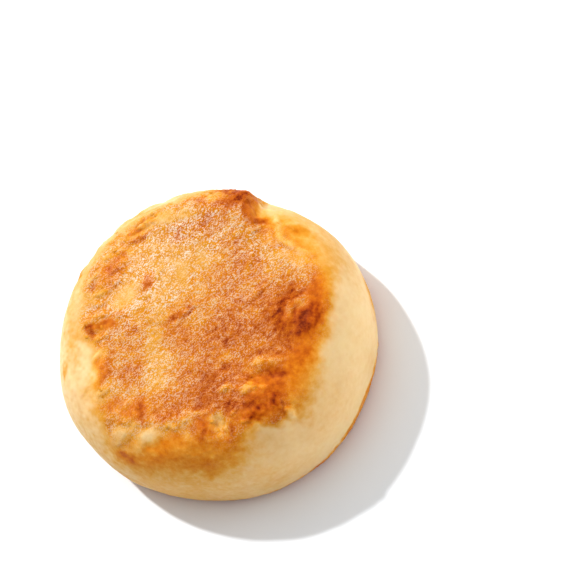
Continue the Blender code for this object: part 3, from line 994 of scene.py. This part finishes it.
class GeometryBench(NodeBench):
    """Builds a Geometry Nodes tree with named inputs."""

    def __init__(self, name, inputs):
        super().__init__(bpy.data.node_groups.new(name, "GeometryNodeTree"))
        sockets = self.tree.interface
        sockets.new_socket("Geometry", in_out="INPUT", socket_type="NodeSocketGeometry")
        sockets.new_socket("Geometry", in_out="OUTPUT", socket_type="NodeSocketGeometry")
        self.values = {}
        for input_name, value in inputs:
            kind = "NodeSocketInt" if isinstance(value, int) else "NodeSocketFloat"
            socket = sockets.new_socket(input_name, in_out="INPUT", socket_type=kind)
            self.values[socket.identifier] = value
        self.given = self.node("NodeGroupInput").outputs
        self.result = self.node("NodeGroupOutput").inputs["Geometry"]
        self.position = self.node("GeometryNodeInputPosition").outputs[0]

    def mark(self, name):
        made = self.node("GeometryNodeInputNamedAttribute", {"Name": name}, data_type="FLOAT")
        return made.outputs["Attribute"]

    def store(self, geometry, name, value):
        """The geometry with the value as a mark of its points."""
        inputs = {"Geometry": geometry, "Name": name, "Value": value}
        kind = "GeometryNodeStoreNamedAttribute"
        return self.node(kind, inputs, data_type="FLOAT", domain="POINT").outputs[0]

    def random(self, kind, low, high):
        """A random value for each point."""
        made = self.node("FunctionNodeRandomValue", {"Seed": self.given["Seed"]}, data_type=kind)
        low_socket, high_socket, result = RANDOM_SOCKETS[kind]
        self.feed(made.inputs[low_socket], low)
        self.feed(made.inputs[high_socket], high)
        return made.outputs[result]

    def changed(self, kind, geometry, **inputs):
        """The geometry as a node of this kind leaves it."""
        return self.node(kind, {"Geometry": geometry, **inputs}).outputs[0]


def grown_mesh(carrier, bench):
    """The plain mesh that the bench's tree makes from the carrier's mesh."""
    grower = carrier.modifiers.new(bench.tree.name, "NODES")
    grower.node_group = bench.tree
    for identifier, value in bench.values.items():
        grower[identifier] = value
    mesh = evaluated_mesh(carrier)
    carrier.modifiers.remove(grower)
    return mesh


def relief_tree(material):
    """Grain, crags and curd lumps, pushed out along the surface where its marks call for them."""
    bench = GeometryBench("fried_relief", RELIEF_INPUTS)
    given = bench.given
    normal = bench.node("GeometryNodeInputNormal").outputs[0]
    shift = bench.node("ShaderNodeCombineXYZ", {"X": given["Seed"], "Y": given["Seed"]}).outputs[0]

    def layer(name, detail, share):
        scale = bench.math("DIVIDE", 1, given[f"{name} Size"])
        place = bench.vector_math("ADD", bench.vector_math("SCALE", bench.position, scale), shift)
        texture = bench.math("SUBTRACT", bench.noise(place, detail=detail), 0.5)
        return bench.chain("MULTIPLY", texture, given[f"{name} Height"], share)

    height = bench.chain(
        "ADD",
        layer("Grain", 1, bench.mark("grain")),
        layer("Crag", 2, bench.mark("craggy")),
        layer("Fleck", 1, bench.mark("craggy")),
        layer("Curd", 2, bench.math("SUBTRACT", 1, bench.mark("grain"))),
        bench.math("MULTIPLY", bench.mark("crust"), given["Crust Thickness"]),
    )
    height = bench.math("MULTIPLY", height, bench.mark("free"))
    # Partly painted light and shade: higher relief is made paler and its hollows browner, partly as
    # uneven toasting.
    paler = bench.math("MULTIPLY", height, given["Paler Per Metre"])
    browning = bench.math("SUBTRACT", bench.mark("browning"), paler)
    least = bench.math("MULTIPLY", bench.mark("craggy"), given["Least Browning"])
    browning = bench.math("MAXIMUM", browning, least)
    tinted = bench.store(given["Geometry"], "browning", browning)
    push = bench.vector_math("SCALE", normal, height)
    moved = bench.changed("GeometryNodeSetPosition", tinted, Offset=push)
    real = bench.changed("GeometryNodeRealizeInstances", moved)
    dressed = bench.changed("GeometryNodeSetMaterial", real, Material=material)
    bench.feed(bench.result, dressed)
    return bench


def crumb_tree(material):
    """Crumbs of fried curd, scattered where the crust is torn and half sunk into it."""
    bench = GeometryBench("curd_crumbs", CRUMB_INPUTS)
    given = bench.given
    torn = bench.math("SUBTRACT", bench.mark("craggy"), TORN_FROM, clamp=True)
    density = bench.chain("MULTIPLY", torn, given["Crumbs Per Square Metre"], bench.mark("crust"))
    scattered = bench.node(
        "GeometryNodeDistributePointsOnFaces",
        {"Mesh": given["Geometry"], "Density": density, "Seed": given["Seed"]},
    )
    paler = bench.math("MULTIPLY", bench.random("FLOAT", *PALER_SHARES), given["Paler"])
    browning = bench.math("SUBTRACT", bench.mark("browning"), paler, clamp=True)
    browning = bench.math("MAXIMUM", browning, given["Least Browning"])
    tinted = bench.store(scattered.outputs["Points"], "browning", browning)
    size = bench.random("FLOAT_VECTOR", given["Smallest"], given["Largest"])
    squash = bench.node("ShaderNodeCombineXYZ", {"X": 1.0, "Y": 1.0, "Z": given["Flatness"]})
    ball = bench.node(
        "GeometryNodeMeshUVSphere",
        {"Segments": CRUMB_SEGMENTS, "Rings": CRUMB_RINGS, "Radius": 1.0},
    )
    placed = bench.node(
        "GeometryNodeInstanceOnPoints",
        {
            "Points": bench.store(tinted, "loose", 1.0),
            "Instance": ball.outputs["Mesh"],
            "Rotation": scattered.outputs["Rotation"],
            "Scale": bench.vector_math("MULTIPLY", size, squash.outputs[0]),
        },
    )
    real = bench.changed("GeometryNodeRealizeInstances", placed.outputs[0])
    dent = bench.node(
        "ShaderNodeTexNoise",
        {"Vector": bench.position, "Scale": DENTS_PER_METRE, "Detail": 1.0},
    )
    centred = bench.vector_math("SUBTRACT", dent.outputs["Color"], (0.5, 0.5, 0.5))
    push = bench.vector_math("SCALE", centred, given["Dent"])
    dented = bench.changed("GeometryNodeSetPosition", real, Offset=push)
    smooth = bench.changed("GeometryNodeSetShadeSmooth", dented)
    dressed = bench.changed("GeometryNodeSetMaterial", smooth, Material=material)
    bench.feed(bench.result, dressed)
    return bench


class CurdBench(NodeBench):
    """Builds the material of the curd from the marks of the surface and a few textures."""

    def __init__(self):
        self.material = bpy.data.materials.new("fried_curd")
        self.material.use_nodes = True
        super().__init__(self.material.node_tree)
        self.shader = self.tree.nodes["Principled BSDF"].inputs
        self.browning = self.mark("browning")
        self.amber = self.mark("amber")
        self.grain = self.mark("grain")
        self.glinty = self.mark("glinty")
        self.attached = self.math("SUBTRACT", 1, self.mark("loose"), clamp=True)

        place = self.node("ShaderNodeTexCoord").outputs["Object"]
        strokes = self.along_strokes(place, STROKE_SIZE)
        cells = self.node("ShaderNodeTexVoronoi", {"Vector": strokes, "Scale": 1.0})
        self.cells = cells.outputs["Color"]
        self.fine = self.noise(strokes, detail=0.0)
        self.streaks = self.noise(self.along_strokes(place, STREAK_SIZE), roughness=0.55)
        self.mottle = self.noise(place, MOTTLES_PER_METRE, detail=3.0, roughness=0.6)
        self.blotch = self.noise(place, BLOTCHES_PER_METRE, detail=3.0, roughness=0.55)

    def mark(self, name):
        made = self.node("ShaderNodeAttribute", attribute_name=name, attribute_type="GEOMETRY")
        return made.outputs["Fac"]

    def along_strokes(self, place, size):
        """Places turned to the bearing of the strokes and divided by a size."""
        made = self.node(
            "ShaderNodeMapping",
            {"Vector": place, "Rotation": (0, 0, math.radians(STROKE_TURN)), "Scale": size},
            vector_type="TEXTURE",
        )
        return made.outputs[0]

    def swing(self, texture, amount):
        """The texture with 0 in its middle, times the amount."""
        return self.math("MULTIPLY", self.math("SUBTRACT", texture, 0.5), amount)

    def follow(self, value, line, clamp=False):
        """What goes with a value on a straight line, given as its growth and what it is at 0."""
        return self.math("MULTIPLY_ADD", value, *line, clamp=clamp)

    def curd_colour(self, level, column):
        """The colour that curd of this browning has in one column of the table."""
        made = self.node("ShaderNodeValToRGB", {"Fac": level})
        elements = made.color_ramp.elements
        while len(elements) < len(CURD_COLOURS):
            elements.new(0.5)
        for element, row in zip(elements, CURD_COLOURS):
            element.position = row[0]
            element.color = (*row[column], 1)
        return made.outputs["Color"]

    def mixed(self, share, first, second, way="MIX"):
        inputs = {MIX_SHARE: share, MIX_FIRST: first, MIX_SECOND: second}
        made = self.node("ShaderNodeMix", inputs, data_type="RGBA", blend_type=way)
        return made.outputs[MIX_RESULT]

    def bump(self, height, depth):
        inputs = {"Height": height, "Distance": depth, "Strength": 1.0}
        return self.node("ShaderNodeBump", inputs).outputs[0]

    def uneven_browning(self):
        """The browning with the swings of the grain and of the clouds in the curd."""
        cell_swing = self.swing(self.cells, CELL_SWING)
        grainy = self.chain("ADD", cell_swing, self.swing(self.streaks, STREAK_SWING), GRAIN_LIFT)
        grainy = self.math("MULTIPLY", grainy, self.grain)
        mottle_swing = self.swing(self.mottle, MOTTLE_SWING)
        clouded = self.math("ADD", mottle_swing, self.swing(self.blotch, BLOTCH_SWING))
        golden = self.follow(self.browning, GOLDEN, clamp=True)
        clouded = self.math("MULTIPLY", clouded, self.follow(golden, CLOUDS_BY_GOLDEN))
        clouded = self.math("MULTIPLY", clouded, self.follow(self.amber, CLOUDS_BY_AMBER))
        return self.math("ADD", self.browning, self.math("ADD", grainy, clouded), clamp=True)

    def fleck_glint_share(self):
        """Where the pale flecks lie, partly dry grain and partly painted glints: on light, grainy
        crust that is fried but not burnt or torn.
        """
        flecks = self.math("SUBTRACT", self.cells, FLECKS_FROM)
        flecks = self.math("MULTIPLY", flecks, FLECK_SHARPNESS, clamp=True)
        streaked = self.follow(self.streaks, FLECKS_BY_STREAK, clamp=True)
        light_crust = self.chain(
            "MULTIPLY",
            self.follow(self.browning, FLECKS_BY_BROWNING, clamp=True),
            self.follow(self.browning, FLECKS_UNTIL_BURNT, clamp=True),
            self.follow(self.browning, FLECKS_ONCE_FRIED, clamp=True),
            self.attached,
            self.follow(self.mark("craggy"), FLECKS_BY_CRAGS),
        )
        share = self.chain("MULTIPLY", flecks, streaked, self.grain, light_crust)
        return self.math("MULTIPLY", share, self.follow(self.glinty, FLECKS_BY_GLINTY), clamp=True)


def curd_material():
    """Curd that goes from cream to scorched with its browning, grainy where it is a dry crust."""
    bench = CurdBench()
    level = bench.uneven_browning()
    curd = bench.mixed(bench.amber, bench.curd_colour(level, 1), bench.curd_colour(level, 2))
    # Painted glints: pale flecks lighten the colour of the curd, whitest where the glints are
    # thickest.
    fleck_glint = bench.mixed(bench.glinty, WARM_FLECK_GLINT, PALE_FLECK_GLINT)
    share = bench.fleck_glint_share()
    cover = bench.math("MULTIPLY", share, FLECK_GLINT_COVER)
    rough = bench.follow(bench.amber, ROUGHNESS_BY_AMBER)
    clear = bench.math("MULTIPLY", bench.attached, bench.follow(bench.grain, GLOW_BY_GRAIN))
    height = bench.math("MULTIPLY", bench.fine, bench.follow(bench.grain, RELIEF_BY_GRAIN))
    finish = {
        "Base Color": bench.mixed(cover, curd, fleck_glint, "LIGHTEN"),
        "Roughness": bench.math("ADD", rough, bench.swing(bench.mottle, ROUGHNESS_SWING), clamp=True),
        "Specular IOR Level": SPECULAR_LEVEL,
        "Coat Weight": bench.follow(share, COAT_BY_FLECKS),
        "Coat Roughness": COAT_ROUGHNESS,
        "Coat Normal": bench.bump(height, GLINT_DEPTH),
        "Subsurface Weight": bench.math("MULTIPLY", clear, GLOW),
        "Subsurface Radius": GLOW_RADIUS,
        "Subsurface Scale": GLOW_SCALE,
        "Normal": bench.bump(height, RELIEF_DEPTH),
    }
    for name, value in finish.items():
        bench.feed(bench.shader[name], value)
    return bench.material


def make_camera():
    """The photograph's view: tilted from straight above towards a bearing, with +Y up the picture."""
    tilt = math.radians(CAMERA_TILT)
    towards = bearing_vector(CAMERA_BEARING)
    turn = Quaternion(Vector((-towards.y, towards.x, 0.0)), tilt)
    camera_data = bpy.data.cameras.new("camera")
    camera = new_object("camera", camera_data)
    camera.rotation_mode = "QUATERNION"
    camera.rotation_quaternion = turn
    camera_data.sensor_width = SENSOR_WIDTH
    camera_data.lens = SENSOR_WIDTH * CAMERA_DISTANCE * PIXELS_PER_METRE / PICTURE_SIZE
    right, up, back = turn.to_matrix().col
    heart = Vector((CRUST_MIDDLE[0], CRUST_MIDDLE[1], HEART_HEIGHT))
    aside = right * ((PICTURE_SIZE / 2 - HEART_PIXEL[0]) / PIXELS_PER_METRE)
    above = up * ((HEART_PIXEL[1] - PICTURE_SIZE / 2) / PIXELS_PER_METRE)
    camera.location = heart + aside + above + back * CAMERA_DISTANCE
    bpy.context.scene.camera = camera


def make_lights():
    for name, strength, angle, bearing, elevation in SUNS:
        sun = bpy.data.lights.new(name, "SUN")
        sun.energy = strength
        sun.angle = math.radians(angle)
        lamp = new_object(name, sun)
        lamp.rotation_mode = "QUATERNION"
        lamp.rotation_quaternion = bearing_vector(bearing, elevation).to_track_quat("Z", "Y")
    world = bpy.data.worlds.new("studio")
    world.use_nodes = True
    background = world.node_tree.nodes["Background"]
    background.inputs["Strength"].default_value = WORLD_STRENGTH
    background.inputs["Color"].default_value = (1, 1, 1, 1)
    bpy.context.scene.world = world


def make_floor():
    bpy.ops.mesh.primitive_plane_add(size=FLOOR_SIZE)
    floor = bpy.context.object
    floor.name = "floor"
    material = bpy.data.materials.new("floor_white")
    material.use_nodes = True
    shader = material.node_tree.nodes["Principled BSDF"]
    shader.inputs["Base Color"].default_value = (*FLOOR_COLOUR, 1)
    shader.inputs["Roughness"].default_value = FLOOR_ROUGHNESS
    floor.data.materials.append(material)


def make_pancake():
    """The two pieces of the pancake: the whole body and the loose crumbs on its crust."""
    curd = curd_material()
    pancake = fine_body(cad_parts["syrnik"])
    write_marks(pancake.data)
    raise_folds(pancake.data)
    pancake.data = grown_mesh(pancake, relief_tree(curd))
    settle_on_floor(pancake.data)
    pancake.data.shade_smooth()

    crumbs = new_object("curd_crumbs", grown_mesh(pancake, crumb_tree(curd)))
    settle_on_floor(crumbs.data)
    for piece in (pancake, crumbs):
        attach(piece, "root")
    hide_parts("syrnik")


make_pancake()
make_floor()
make_lights()
make_camera()
bpy.context.scene.view_settings.view_transform = "Standard"
